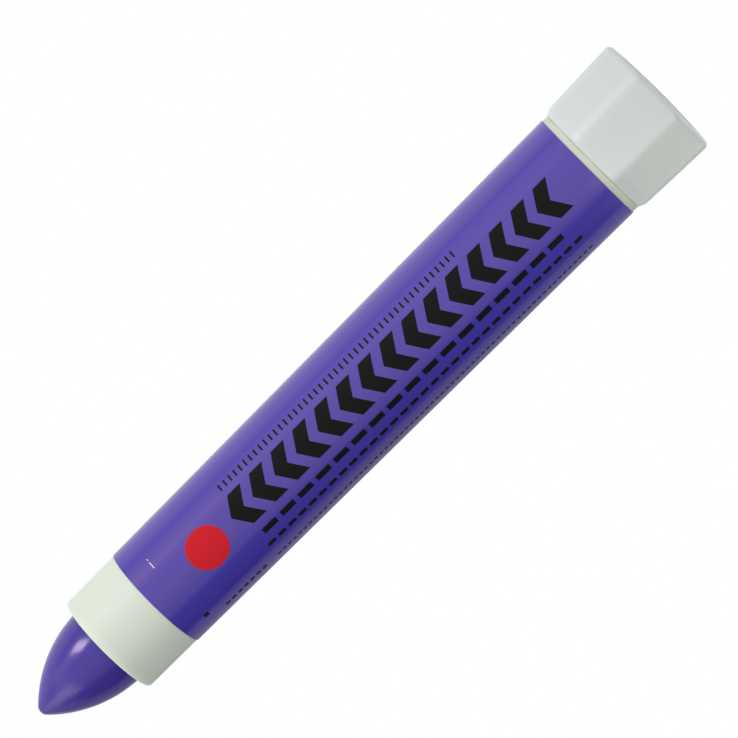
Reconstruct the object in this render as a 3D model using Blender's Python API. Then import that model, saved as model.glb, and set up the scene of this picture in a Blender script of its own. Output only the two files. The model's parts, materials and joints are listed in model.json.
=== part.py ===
"""Twist-up solid paint marker, lying on a table with its paint stick wound out.

Turning the eight-sided knob turns a left-hand drive screw. The feed cup rides on the screw's thread
and is kept from turning by keys in the barrel's grooves, so it carries the paint stick in or out.

Every piece is modelled upright about the local Z axis, with the knob's end face at height 0 and the
writing tip at the top. The empty that they hang from lays the marker down along X, tip towards -X.
"""

import math

import bmesh
import bpy
from mathutils import Vector

# Driving dimensions, in metres and degrees.

# Paint stick.
STICK_DIAMETER = 0.0130
OGIVE_LENGTH = 0.0145
NOSE_RADIUS = 0.0013
TIP_REACH = 0.0136  # how far the tip stands out of the barrel at rest
TIP_RECESS = 0.0011  # how far inside the barrel it hides when wound back

# Barrel: a moulded tube with a slight draft, widest at the knob.
BARREL_LENGTH = 0.0965
FRONT_WALL = 0.001575
DRAFT_DEG = 0.4070
FRONT_EDGE_RADIUS = 0.0008
REAR_EDGE_CHAMFER = 0.00015
MOUTH_CHAMFER = 0.0003
RIM_FLAT = 0.0004  # least flat left on the front rim between its two edges

# Guide grooves in the bore, open at the rear.
GROOVE_COUNT = 4
GROOVE_WIDTH = 0.0018
GROOVE_DEPTH = 0.0006
GROOVE_SETBACK = 0.0100  # from the barrel's front rim

# Snap seat at the barrel's rear, which holds the screw's flange.
SEAT_STEP = 0.0009
LIP_DEPTH = 0.00045
LIP_LENGTH = 0.0008
FLANGE_THICKNESS = 0.0020

# Label: one strip of film wrapped round the barrel, its end lapped over its start.
FRONT_BARE = 0.0096
REAR_BARE = 0.0010
FILM_THICKNESS = 0.00010
GLUE_THICKNESS = 0.00002
FILM_LAP = 0.0040
FILM_RAMP = 0.0012
SEAM_DEG = 205.0

# Knob: a hollow shell with eight flats, flared towards its closed end.
KNOB_LENGTH = 0.0134
KNOB_SIDES = 8
KNOB_STEP = 0.00047  # flats at the front edge, beyond the barrel's radius there
KNOB_FLARE_DEG = 1.95
KNOB_CORNER_RADIUS = 0.0010
KNOB_END_RADIUS = 0.0006
KNOB_CHAMFER_LENGTH = 0.0009
KNOB_CHAMFER_DEPTH = 0.00045
KNOB_WALL = 0.0015
KNOB_END_WALL = 0.0016
KNOB_SEAM = 0.00012

# Hexagonal drive between the screw's shank and the knob's socket.
SHANK_FLATS = 0.0069
SHANK_END_ROOM = 0.0008
SOCKET_WALL = 0.0012
NECK_LENGTH = 0.0030

# Drive screw: single start, left-hand.
SCREW_CORE_DIAMETER = 0.0042
THREAD_DEPTH = 0.0007
THREAD_LEAD = 0.0040
THREAD_FLANK = 0.00035
GROOVE_SHARE = 0.575  # of what the flanks leave of the lead; the crest takes the rest
THREAD_HAND = -1
SCREW_LEAD_IN = 0.0015
SCREW_END_CHAMFER = 0.0006

# Feed cup: nut, floor, cup and keys in one moulding.
BOSS_LENGTH = 0.0080
BOSS_WALL = 0.0013
FLOOR_THICKNESS = 0.0015
CUP_DEPTH = 0.0060
CUP_WALL = 0.0007
KEY_WIDTH = 0.0015
KEY_LENGTH = 0.0050
LUG_SWEEP_DEG = 120.0
LUG_ROOTING = 0.0005

# Clearances.
STICK_CLEARANCE = 0.0002
SLIDE_CLEARANCE = 0.00015
THREAD_CLEARANCE = 0.00015
FIT_GAP = 0.00005
END_PLAY = 0.0001
STOP_GAP = 0.0003
BORE_END_ROOM = 0.0010

# Mesh fineness.
ROUND_STEPS = 64
SMALL_STEPS = 48
THREAD_STEPS = 24
ARC_STEPS = 4
OGIVE_STEPS = 10
SMOOTH_DEG = 30.0

# Sizes that follow from the driving dimensions. "at" is a height along the axis from the knob's end face.
stick_radius = STICK_DIAMETER / 2
bore_radius = stick_radius + STICK_CLEARANCE
front_radius = bore_radius + FRONT_WALL
draft = math.tan(math.radians(DRAFT_DEG))
rear_radius = front_radius + BARREL_LENGTH * draft
front_edge_radius = min(FRONT_EDGE_RADIUS, max(FRONT_WALL - MOUTH_CHAMFER - RIM_FLAT, FRONT_WALL / 4))

barrel_rear_at = KNOB_LENGTH + KNOB_SEAM
barrel_front_at = barrel_rear_at + BARREL_LENGTH
label_rear_at = barrel_rear_at + REAR_BARE
label_front_at = barrel_front_at - FRONT_BARE
groove_front_at = barrel_front_at - GROOVE_SETBACK
groove_radius = bore_radius + GROOVE_DEPTH

seat_radius = bore_radius + SEAT_STEP
lip_radius = seat_radius - LIP_DEPTH
flange_rear_at = barrel_rear_at + LIP_LENGTH + END_PLAY
flange_front_at = flange_rear_at + FLANGE_THICKNESS
seat_front_at = flange_front_at + END_PLAY

core_radius = SCREW_CORE_DIAMETER / 2
thread_root = (THREAD_LEAD - 2 * THREAD_FLANK) * GROOVE_SHARE
crest_radius = core_radius + THREAD_DEPTH
nut_radius = crest_radius + THREAD_CLEARANCE
boss_radius = nut_radius + BOSS_WALL

travel_back = TIP_REACH + TIP_RECESS
floor_at = flange_front_at + STOP_GAP + BOSS_LENGTH + FLOOR_THICKNESS + travel_back
boss_front_at = floor_at - FLOOR_THICKNESS
lug_at = boss_front_at - BOSS_LENGTH / 2
key_front_at = boss_front_at + KEY_LENGTH
travel_forward = groove_front_at - key_front_at - STOP_GAP
cup_radius = bore_radius - SLIDE_CLEARANCE
cup_inner_radius = cup_radius - CUP_WALL
cup_rim_at = floor_at + CUP_DEPTH

thread_rear_at = flange_front_at + SCREW_LEAD_IN
thread_front_at = lug_at + travel_forward + BOSS_LENGTH / 2 + THREAD_LEAD / 2
screw_front_at = thread_front_at + SCREW_END_CHAMFER + SCREW_LEAD_IN

tip_at = barrel_front_at + TIP_REACH
stick_base_at = floor_at + FIT_GAP
stick_bore_radius = crest_radius + STICK_CLEARANCE
stick_bore_end_at = screw_front_at + travel_back + BORE_END_ROOM

flare = math.tan(math.radians(KNOB_FLARE_DEG))
knob_front_flat = rear_radius + KNOB_STEP
knob_rear_flat = knob_front_flat + KNOB_LENGTH * flare
knob_bore_radius = knob_front_flat - KNOB_WALL
socket_flats = SHANK_FLATS + 2 * FIT_GAP
socket_radius = socket_flats / 2 / math.cos(math.pi / 6) + SOCKET_WALL
shank_rear_at = KNOB_END_WALL + SHANK_END_ROOM
neck_rear_at = flange_rear_at - NECK_LENGTH
socket_front_at = neck_rear_at - FIT_GAP


def clear_scene():
    for thing in list(bpy.data.objects):
        bpy.data.objects.remove(thing, do_unlink=True)


def plastic(name, colour, roughness):
    """A plain material in the piece's colour, which is in linear RGB."""
    material = bpy.data.materials.new(name)
    material.use_nodes = True
    shader = material.node_tree.nodes["Principled BSDF"]
    shader.inputs["Base Color"].default_value = (*colour, 1.0)
    shader.inputs["Roughness"].default_value = roughness
    shader.inputs["Metallic"].default_value = 0.0
    return material


def add_object(name, bm, material, carrier):
    """Turns a finished bmesh into a named, smooth-shaded object that hangs from the carrier."""
    bmesh.ops.recalc_face_normals(bm, faces=bm.faces)
    mesh = bpy.data.meshes.new(name)
    bm.to_mesh(mesh)
    bm.free()
    mesh.materials.append(material)
    mesh.shade_smooth()
    mesh.set_sharp_from_angle(angle=math.radians(SMOOTH_DEG))
    thing = bpy.data.objects.new(name, mesh)
    bpy.context.scene.collection.objects.link(thing)
    thing.parent = carrier
    return thing


def combine(target, helper, operation):
    """Cuts the helper from the target, or joins it on, and hides the helper."""
    boolean = target.modifiers.new(helper.name, "BOOLEAN")
    boolean.operation = operation
    boolean.solver = "EXACT"
    boolean.object = helper
    helper.hide_render = True
    helper.display_type = "WIRE"


def arc(radius_at, height_at, radius, start_deg, end_deg, steps=ARC_STEPS):
    """Profile points on a fillet: 0 degrees faces outwards from the axis and 90 degrees faces the tip."""
    points = []
    for step in range(steps + 1):
        angle = math.radians(start_deg + (end_deg - start_deg) * step / steps)
        points.append((radius_at + radius * math.cos(angle), height_at + radius * math.sin(angle)))
    return points


def turned(profile, steps, closed):
    """Spins a profile of (radius, height) points about Z. An open profile starts and ends on the axis."""
    bm = bmesh.new()
    points = [bm.verts.new((radius, 0.0, height)) for radius, height in profile]
    pairs = list(zip(points, points[1:]))
    if closed:
        pairs.append((points[-1], points[0]))
    edges = [bm.edges.new(pair) for pair in pairs]
    bmesh.ops.spin(
        bm, geom=points + edges, cent=(0, 0, 0), axis=(0, 0, 1), angle=math.tau, steps=steps, use_merge=True
    )
    bmesh.ops.remove_doubles(bm, verts=bm.verts, dist=1e-8)
    return bm


def loft(rings, cap_first=False, cap_last=False):
    """Joins rings of equally many points into one skin, and closes its ends where that is asked."""
    bm = bmesh.new()
    rows = [[bm.verts.new(point) for point in ring] for ring in rings]
    count = len(rows[0])
    for low, high in zip(rows, rows[1:]):
        for k in range(count):
            after = (k + 1) % count
            bm.faces.new((low[k], low[after], high[after], high[k]))
    if cap_first:
        bm.faces.new(rows[0])
    if cap_last:
        bm.faces.new(rows[-1])
    return bm


def prism(sides, flats, low, high):
    """A regular prism, measured across its flats, standing on the axis between two heights."""
    corner = flats / 2 / math.cos(math.pi / sides)
    turns = [math.tau * (k + 0.5) / sides for k in range(sides)]
    rings = [[(corner * math.cos(a), corner * math.sin(a), z) for a in turns] for z in (low, high)]
    return loft(rings, cap_first=True, cap_last=True)


def radial_bars(count, inner, outer, width, low, high):
    """Upright bars spread evenly round the axis, from one radius to another."""
    bm = bmesh.new()
    for k in range(count):
        angle = math.tau * k / count
        out = Vector((math.cos(angle), math.sin(angle), 0.0))
        side = Vector((-math.sin(angle), math.cos(angle), 0.0)) * width / 2
        foot = [out * inner - side, out * outer - side, out * outer + side, out * inner + side]
        bottom = [bm.verts.new(point + Vector((0, 0, low))) for point in foot]
        top = [bm.verts.new(point + Vector((0, 0, high))) for point in foot]
        bm.faces.new(bottom[::-1])
        bm.faces.new(top)
        for i in range(4):
            j = (i + 1) % 4
            bm.faces.new((bottom[i], bottom[j], top[j], top[i]))
    return bm


def barrel_radius(at):
    """The barrel's outer radius at a height, which shrinks towards the tip with the mould's draft."""
    return front_radius + (barrel_front_at - at) * draft


def make_barrel(carrier):
    """The outer tube, bare at both ends of the label, with guide grooves and a snap seat inside."""
    rim = arc(front_radius - front_edge_radius, barrel_front_at - front_edge_radius, front_edge_radius, 0, 90)
    profile = [
        (rear_radius - REAR_EDGE_CHAMFER, barrel_rear_at),
        (barrel_radius(barrel_rear_at + REAR_EDGE_CHAMFER), barrel_rear_at + REAR_EDGE_CHAMFER),
        *rim,
        (bore_radius + MOUTH_CHAMFER, barrel_front_at),
        (bore_radius, barrel_front_at - MOUTH_CHAMFER),
        (bore_radius, seat_front_at),
        (seat_radius, seat_front_at),
        (seat_radius, barrel_rear_at + LIP_LENGTH),
        (lip_radius, barrel_rear_at + LIP_LENGTH),
        (lip_radius, barrel_rear_at),
    ]
    cream = plastic("cream_plastic", (0.74, 0.79, 0.68), 0.45)
    barrel = add_object("barrel_tube", turned(profile, ROUND_STEPS, closed=True), cream, carrier)
    middle_of_seat = barrel_rear_at + LIP_LENGTH + FLANGE_THICKNESS / 2
    bars = radial_bars(
        GROOVE_COUNT, bore_radius - GROOVE_DEPTH, groove_radius, GROOVE_WIDTH, middle_of_seat, groove_front_at
    )
    combine(barrel, add_object("groove_cutter", bars, cream, carrier), "DIFFERENCE")


def make_label(carrier):
    """The printed film: it climbs over its own start and ends a lap's width further on.

    Its facets line up with the barrel's, so the layer of glue between them is even.
    """
    facet = math.tau / ROUND_STEPS
    seam = round(math.radians(SEAM_DEG) / facet) * facet
    ramp_start = math.tau - FILM_RAMP / front_radius
    end = math.tau + FILM_LAP / front_radius
    climb = FILM_THICKNESS + GLUE_THICKNESS
    turns = [k * facet for k in range(math.ceil(end / facet))]
    turns = sorted({*turns, ramp_start, end})
    bm = bmesh.new()
    sections = []
    for turn in turns:
        raised = climb * min(1.0, max(0.0, (turn - ramp_start) / (math.tau - ramp_start)))
        angle = seam + turn
        section = []
        for at, layer in ((label_rear_at, 0), (label_rear_at, 1), (label_front_at, 1), (label_front_at, 0)):
            radius = barrel_radius(at) + GLUE_THICKNESS + raised + layer * FILM_THICKNESS
            section.append(bm.verts.new((radius * math.cos(angle), radius * math.sin(angle), at)))
        sections.append(section)
    for low, high in zip(sections, sections[1:]):
        for k in range(4):
            after = (k + 1) % 4
            bm.faces.new((low[k], low[after], high[after], high[k]))
    bm.faces.new(sections[0])
    bm.faces.new(sections[-1])
    add_object("label_film", bm, plastic("purple_film", (0.085, 0.052, 0.330), 0.25), carrier)


def knob_ring(at, inset):
    """The knob's outline at a height, drawn in by an inset: straight flats and rounded corners."""
    flat = knob_front_flat + (KNOB_LENGTH - at) * flare - inset
    corner = max(KNOB_CORNER_RADIUS - inset, KNOB_CORNER_RADIUS / 4)
    half = math.pi / KNOB_SIDES
    centre = (flat - corner) / math.cos(half)
    points = []
    for side in range(KNOB_SIDES):
        middle = half + side * 2 * half
        for step in range(ARC_STEPS + 1):
            angle = middle - half + 2 * half * step / ARC_STEPS
            x = centre * math.cos(middle) + corner * math.cos(angle)
            y = centre * math.sin(middle) + corner * math.sin(angle)
            points.append((x, y, at))
    return points


def round_ring(radius, at):
    """A circle with as many points as the knob's outline, at the same angles."""
    outline = knob_ring(at, 0.0)
    return [(x * radius / math.hypot(x, y), y * radius / math.hypot(x, y), at) for x, y, _ in outline]


def make_knob(carrier):
    """The faceted shell that the fingers turn, closed at its end, with a hexagonal socket inside."""
    rings = [
        round_ring(socket_radius, KNOB_END_WALL),
        round_ring(knob_bore_radius, KNOB_END_WALL),
        round_ring(knob_bore_radius, KNOB_LENGTH),
        knob_ring(KNOB_LENGTH, KNOB_CHAMFER_DEPTH),
        knob_ring(KNOB_LENGTH - KNOB_CHAMFER_LENGTH, 0.0),
    ]
    for step in range(ARC_STEPS + 1):
        turn = math.pi / 2 * step / ARC_STEPS
        at = KNOB_END_RADIUS * (1 - math.sin(turn))
        rings.append(knob_ring(at, KNOB_END_RADIUS * (1 - math.cos(turn))))
    rings.insert(0, round_ring(socket_radius, socket_front_at))
    white = plastic("white_plastic", (0.70, 0.74, 0.74), 0.35)
    knob = add_object("twist_knob", loft(rings, cap_first=True, cap_last=True), white, carrier)
    socket = prism(6, socket_flats, KNOB_END_WALL, socket_front_at + END_PLAY)
    combine(knob, add_object("socket_cutter", socket, white, carrier), "DIFFERENCE")


def threaded_rod():
    """The screw's rod: a skin of four strips wound along the thread, which fades out at both ends.

    The thread is turned so that at angle 0 its groove passes the middle of the nut.
    """
    bm = bmesh.new()
    offsets = (0.0, thread_root, thread_root + THREAD_FLANK, THREAD_LEAD - THREAD_FLANK)
    heights = (0.0, 0.0, THREAD_DEPTH, THREAD_DEPTH)
    winding = thread_front_at - thread_rear_at - THREAD_LEAD
    last = math.floor(winding / THREAD_LEAD * THREAD_STEPS)
    first_turn = -THREAD_HAND * math.tau * (lug_at - thread_rear_at - thread_root / 2) / THREAD_LEAD

    def spot(row, radius, at):
        angle = first_turn + THREAD_HAND * math.tau * row / THREAD_STEPS
        return bm.verts.new((radius * math.cos(angle), radius * math.sin(angle), at))

    def ring(row, radius, at):
        return [spot(row + k, radius, at) for k in range(THREAD_STEPS)]

    strips = []
    for row in range(last + THREAD_STEPS + 1):
        at = thread_rear_at + THREAD_LEAD * row / THREAD_STEPS
        fade = min(1.0, max(0.0, 2 * min(row, last - row) / THREAD_STEPS))
        columns = range(4) if row <= last else range(1)
        strips.append([spot(row, core_radius + heights[c] * fade, at + offsets[c]) for c in columns])
    for row in range(last):
        here, there = strips[row], strips[row + 1]
        for c in range(3):
            bm.faces.new((here[c], there[c], there[c + 1], here[c + 1]))
        bm.faces.new((here[3], there[3], strips[row + 1 + THREAD_STEPS][0], strips[row + THREAD_STEPS][0]))

    foot = ring(0, core_radius, flange_front_at - FLANGE_THICKNESS / 2)
    for k in range(THREAD_STEPS - 1):
        bm.faces.new((foot[k], foot[k + 1], strips[k + 1][0], strips[k][0]))
    bm.faces.new((foot[-1], foot[0], *strips[0], strips[THREAD_STEPS][0], strips[THREAD_STEPS - 1][0]))
    bm.faces.new(foot)

    neck = ring(last, core_radius, screw_front_at - SCREW_END_CHAMFER)
    end = ring(last, core_radius - SCREW_END_CHAMFER, screw_front_at)
    seam = strips[last + THREAD_STEPS]
    bm.faces.new((strips[last][0], strips[last + 1][0], neck[1], neck[0], *seam, *strips[last][:0:-1]))
    for k in range(1, THREAD_STEPS):
        after = (k + 1) % THREAD_STEPS
        bm.faces.new((strips[last + k][0], strips[last + k + 1][0], neck[after], neck[k]))
    for k in range(THREAD_STEPS):
        after = (k + 1) % THREAD_STEPS
        bm.faces.new((neck[k], neck[after], end[after], end[k]))
    bm.faces.new(end)
    return bm


def make_screw(carrier):
    """The drive screw: its flange snaps behind the barrel's lip and its shank plugs into the knob."""
    flange_radius = seat_radius - SLIDE_CLEARANCE
    profile = [
        (0.0, flange_front_at),
        (flange_radius, flange_front_at),
        (flange_radius, flange_rear_at),
        (socket_radius, flange_rear_at),
        (socket_radius, neck_rear_at),
        (0.0, neck_rear_at),
    ]
    white = plastic("screw_plastic", (0.72, 0.72, 0.70), 0.40)
    screw = add_object("drive_screw", turned(profile, SMALL_STEPS, closed=False), white, carrier)
    combine(screw, add_object("rod_helper", threaded_rod(), white, carrier), "UNION")
    shank = prism(6, SHANK_FLATS, shank_rear_at, flange_rear_at)
    combine(screw, add_object("shank_helper", shank, white, carrier), "UNION")


def thread_lugs():
    """Two short thread segments on opposite sides of the nut, shaped to run in the screw's groove.

    One lies as far ahead of the nut's middle as the other lies behind it.
    """
    bm = bmesh.new()
    sweep = math.radians(LUG_SWEEP_DEG)
    inner = core_radius + THREAD_CLEARANCE
    outer = nut_radius + LUG_ROOTING
    slope = THREAD_FLANK / THREAD_DEPTH
    inner_half = thread_root / 2 - THREAD_CLEARANCE
    outer_half = inner_half + slope * (outer - inner)
    steps = round(LUG_SWEEP_DEG / 360 * THREAD_STEPS)
    for side in (-math.pi / 2, math.pi / 2):
        sections = []
        for step in range(steps + 1):
            angle = side + sweep * (step / steps - 0.5)
            middle = lug_at + THREAD_HAND * THREAD_LEAD * angle / math.tau
            corners = ((inner, -inner_half), (outer, -outer_half), (outer, outer_half), (inner, inner_half))
            section = [(r * math.cos(angle), r * math.sin(angle), middle + rise) for r, rise in corners]
            sections.append([bm.verts.new(point) for point in section])
        for low, high in zip(sections, sections[1:]):
            for k in range(4):
                after = (k + 1) % 4
                bm.faces.new((low[k], low[after], high[after], high[k]))
        bm.faces.new(sections[0])
        bm.faces.new(sections[-1])
    return bm


def make_feed_cup(carrier):
    """The moving carrier: a nut on the screw, a cup that holds the stick, and keys in the grooves."""
    profile = [
        (nut_radius, boss_front_at - BOSS_LENGTH),
        (boss_radius, boss_front_at - BOSS_LENGTH),
        (boss_radius, boss_front_at),
        (cup_radius, boss_front_at),
        (cup_radius, cup_rim_at),
        (cup_inner_radius, cup_rim_at),
        (cup_inner_radius, floor_at),
        (nut_radius, floor_at),
    ]
    grey = plastic("cup_plastic", (0.66, 0.68, 0.66), 0.45)
    cup = add_object("feed_cup", turned(profile, SMALL_STEPS, closed=True), grey, carrier)
    key_radius = groove_radius - SLIDE_CLEARANCE
    key_root = cup_radius - CUP_WALL / 2
    keys = radial_bars(GROOVE_COUNT, key_root, key_radius, KEY_WIDTH, boss_front_at, key_front_at)
    combine(cup, add_object("key_helper", keys, grey, carrier), "UNION")
    combine(cup, add_object("lug_helper", thread_lugs(), grey, carrier), "UNION")


def ogive():
    """Profile points of the writing tip, from its rounded nose back to the stick's full diameter.

    The side is an arc tangent to the stick, and the nose is a smaller arc tangent to that one.
    """
    side_radius = (stick_radius**2 + OGIVE_LENGTH**2) / (2 * stick_radius)
    side_centre = stick_radius - side_radius
    reach = math.sqrt((side_radius - NOSE_RADIUS) ** 2 - side_centre**2)
    nose_at = tip_at - NOSE_RADIUS
    shoulder_at = nose_at - reach
    join_deg = math.degrees(math.atan2(reach, -side_centre))
    nose = arc(0.0, nose_at, NOSE_RADIUS, 90, join_deg)
    side = arc(side_centre, shoulder_at, side_radius, join_deg, 0, OGIVE_STEPS)
    return [(0.0, tip_at), *nose[1:], *side[1:]]


def make_stick(carrier):
    """The solid paint: an ogive tip, a plain stem, a spigot in the cup and a bore for the screw."""
    spigot_radius = cup_inner_radius - FIT_GAP
    shoulder_at = cup_rim_at + FIT_GAP
    profile = [
        *ogive(),
        (stick_radius, shoulder_at),
        (spigot_radius, shoulder_at),
        (spigot_radius, stick_base_at),
        (stick_bore_radius, stick_base_at),
        (stick_bore_radius, stick_bore_end_at - stick_bore_radius / 2),
        (0.0, stick_bore_end_at),
    ]
    paint = plastic("solid_paint", (0.072, 0.043, 0.270), 0.35)
    add_object("paint_stick", turned(profile, SMALL_STEPS, closed=False), paint, carrier)


def resting_tilt(knob_edge, front_edge, front_rounding):
    """The tilt at which the knob's rounded end edge and an edge further forward both touch a table."""
    step = front_edge - knob_edge
    slope = math.atan2(-step.y, step.x)
    return slope + math.asin((KNOB_END_RADIUS - front_rounding) / step.length)


def lay_down(carrier):
    """Rests the marker, centred over the origin, on the knob's end edge and the first edge to touch in front."""
    knob_edge = Vector((KNOB_END_RADIUS, knob_rear_flat - KNOB_END_RADIUS * (1 + flare)))
    rim_edge = Vector((barrel_front_at - front_edge_radius, front_radius - front_edge_radius))
    film_edge = Vector((label_front_at, barrel_radius(label_front_at) + GLUE_THICKNESS + FILM_THICKNESS))
    on_rim = resting_tilt(knob_edge, rim_edge, front_edge_radius)
    on_film = resting_tilt(knob_edge, film_edge, 0.0)
    tilt = min(on_rim, on_film)
    height = knob_edge.y * math.cos(tilt) + knob_edge.x * math.sin(tilt) + KNOB_END_RADIUS
    front = (tip_at - NOSE_RADIUS) * math.cos(tilt) + NOSE_RADIUS
    back = knob_edge.y * math.sin(tilt) + KNOB_END_RADIUS * (1 - math.cos(tilt))
    carrier.location = ((front - back) / 2, 0.0, height)
    carrier.rotation_euler = (0.0, -math.pi / 2 - tilt, 0.0)
    return tilt


def main():
    clear_scene()
    carrier = bpy.data.objects.new("marker_axis", None)
    bpy.context.scene.collection.objects.link(carrier)
    make_barrel(carrier)
    make_label(carrier)
    make_knob(carrier)
    make_screw(carrier)
    make_feed_cup(carrier)
    make_stick(carrier)
    tilt = lay_down(carrier)
    bpy.context.view_layer.update()
    turn_back = 360 * travel_back / THREAD_LEAD
    turn_forward = 360 * travel_forward / THREAD_LEAD
    print(f"rest tilt {math.degrees(tilt):.4f} deg, knob end at {tuple(carrier.location)}")
    print(f"feed {-travel_back:.5f} to {travel_forward:.5f} m, knob {-turn_back:.1f} to {turn_forward:.1f} deg")
    print(f"diameters: barrel {2 * front_radius:.5f} to {2 * rear_radius:.5f}")
    print(f"knob flats {2 * knob_front_flat:.5f} to {2 * knob_rear_flat:.5f}, overall {tip_at:.5f}")


if __name__ == "__main__":
    main()
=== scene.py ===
"""Looks of the twist-up solid paint marker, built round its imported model.

Each visible piece is modelled about the marker's own axis: local Z runs from the knob's end face to the
writing tip, local X points up and local Y across. The drive screw and the feed cup keep their solids.
"""

import json
import math

import bmesh
import bpy
import numpy as np
from mathutils import Matrix, Vector


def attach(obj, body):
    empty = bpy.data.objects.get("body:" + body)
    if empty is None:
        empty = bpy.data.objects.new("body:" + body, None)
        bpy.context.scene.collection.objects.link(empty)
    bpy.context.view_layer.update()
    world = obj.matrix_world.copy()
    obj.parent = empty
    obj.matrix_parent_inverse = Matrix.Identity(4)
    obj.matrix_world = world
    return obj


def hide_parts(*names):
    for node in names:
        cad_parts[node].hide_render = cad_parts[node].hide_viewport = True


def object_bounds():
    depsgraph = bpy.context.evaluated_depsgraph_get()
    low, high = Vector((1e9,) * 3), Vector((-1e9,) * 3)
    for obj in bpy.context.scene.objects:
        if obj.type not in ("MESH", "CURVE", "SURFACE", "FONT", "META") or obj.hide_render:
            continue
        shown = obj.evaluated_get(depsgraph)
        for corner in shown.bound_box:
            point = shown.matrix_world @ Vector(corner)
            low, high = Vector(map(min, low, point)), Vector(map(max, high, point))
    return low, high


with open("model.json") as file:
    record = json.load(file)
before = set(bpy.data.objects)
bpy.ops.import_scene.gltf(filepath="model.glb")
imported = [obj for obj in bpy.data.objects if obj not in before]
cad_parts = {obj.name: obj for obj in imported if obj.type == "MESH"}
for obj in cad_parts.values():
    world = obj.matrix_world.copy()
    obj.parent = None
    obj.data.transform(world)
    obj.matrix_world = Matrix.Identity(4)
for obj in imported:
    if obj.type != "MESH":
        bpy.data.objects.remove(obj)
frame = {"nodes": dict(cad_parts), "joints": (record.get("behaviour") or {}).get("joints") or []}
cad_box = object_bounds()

MM = 0.001
# Columns of a measured point, and how near counts as the same place when sizes are read from the solids.
UP = 0
ALONG = 2
NEAR = 0.1 * MM
# Directions in an outline, in degrees.
OUTWARD = 0
TIPWARD = 90
INWARD = 180
KNOBWARD = 270
# Marks that a mesh carries at its points, each from 0 to 1: painted shade, painted light and the dulling of
# a gloss.
SHADE_MARK = "painted_shade"
LIGHT_MARK = "painted_light"
DULL = "dull"

# Barrel. The widest point within the front reach is the edge of the solid's rim.
RIM_RADIUS = 0.4 * MM
FRONT_REACH = 5.0 * MM
MOUTH_CHAMFER = 0.3 * MM
REAR_CHAMFER = 0.03 * MM
GROOVE_COUNT = 4
GROOVE_WIDTH = 1.8 * MM
GROOVE_SETBACK = 10.0 * MM
GROOVE_CLEARANCE = 0.15 * MM
SEAT_PLAY = 0.1 * MM
SEAT_CLEARANCE = 0.15 * MM
LIP_CATCH = 0.3 * MM
# Reaches of the painted shade beside the knob and of the painted light at the front rim.
SEAM_SHADE_REACH = 1.0 * MM
RIM_GLOW_REACH = 2.0 * MM

# Label film, lapped over itself on the underside.
GLUE = 0.02 * MM
FILM = 0.10 * MM
FILM_LAP = 4.0 * MM
FILM_RAMP = 1.2 * MM
SEAM_DEG = 202.5

# Knob. The solid's flats start and stop short of its ends, and the painted shade towards its end is a share
# of the colour.
KNOB_SIDES = 8
KNOB_CORNER_RADIUS = 2.0 * MM
KNOB_LEAST_CORNER = 0.5 * MM
KNOB_END_RADIUS = 0.9 * MM
KNOB_CROWN = 0.35 * MM
KNOB_BEVEL_LENGTH = 1.5 * MM
KNOB_BEVEL_DEPTH = 0.45 * MM
KNOB_LIP_LENGTH = 0.105 * MM
KNOB_LIP_INSET = 0.03 * MM
KNOB_FLATS_START = 0.6 * MM
KNOB_FLATS_STOP = 0.9 * MM
KNOB_WALL = 1.5 * MM
KNOB_END_WALL = 1.6 * MM
SOCKET_SIDES = 6
SOCKET_WALL = 1.2 * MM
SOCKET_GAP = 0.05 * MM
# Reach of the painted highlight along the knob's ridges.
RIDGE_HIGHLIGHT_REACH = 1.5 * MM
KNOB_END_SHADE = 0.28
GATE_RADIUS = 1.4 * MM
GATE_DEPTH = 0.12 * MM
GATE_SURROUND = 2.8 * MM

# Paint stick. The bore's conical end is this many bore radii deep.
OGIVE_LENGTH = 14.5 * MM
NOSE_RADIUS = 1.3 * MM
BORE_CONE = 0.5
DULL_REACH = 9.0 * MM

# Print on the label: distances back from the film's front edge, and arc lengths round the barrel from its
# top line, positive towards -Y.
INK_FOOT = 0.002 * MM
INK_TOP = 0.012 * MM
INK_STEP = 0.25 * MM
DOT_BACK = 11.1 * MM
DOT_ROW = 0.3 * MM
DOT_RADIUS = 3.2 * MM
DOT_END_HALF_WIDTH = 0.08 * MM
CHEVRON_COUNT = 15
CHEVRON_ROW = -0.23 * MM
CHEVRON_HALF_HEIGHT = 2.75 * MM
CHEVRON_START = 16.4 * MM
CHEVRON_PITCH = 4.3 * MM
CHEVRON_WIDTH = 2.5 * MM
CHEVRON_LEAN = 0.65
# Painted glint on the film: two short white strokes in one line round the barrel, each with its row and
# height.
GLINT_BACK = 3.7 * MM
GLINT_WIDTH = 0.14 * MM
GLINT_STROKES = ((-4.75 * MM, 0.30 * MM), (-3.65 * MM, 1.20 * MM))
# Rows of ticks and dashes, in millimetres: start, end, row, height, length, pitch.
PRINT_ROWS_MM = (
    (18.0, 65.6, -4.66, 1.15, 0.28, 1.0),
    (18.2, 80.0, 4.46, 0.90, 2.6, 3.5),
    (17.2, 81.0, 6.79, 0.60, 1.4, 2.0),
    (3.6, 4.8, 8.05, 0.80, 0.8, 1.0),
    (6.8, 15.4, 9.9, 0.60, 0.8, 1.2),
    (17.0, 79.0, 10.1, 0.45, 0.6, 1.0),
)

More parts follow.
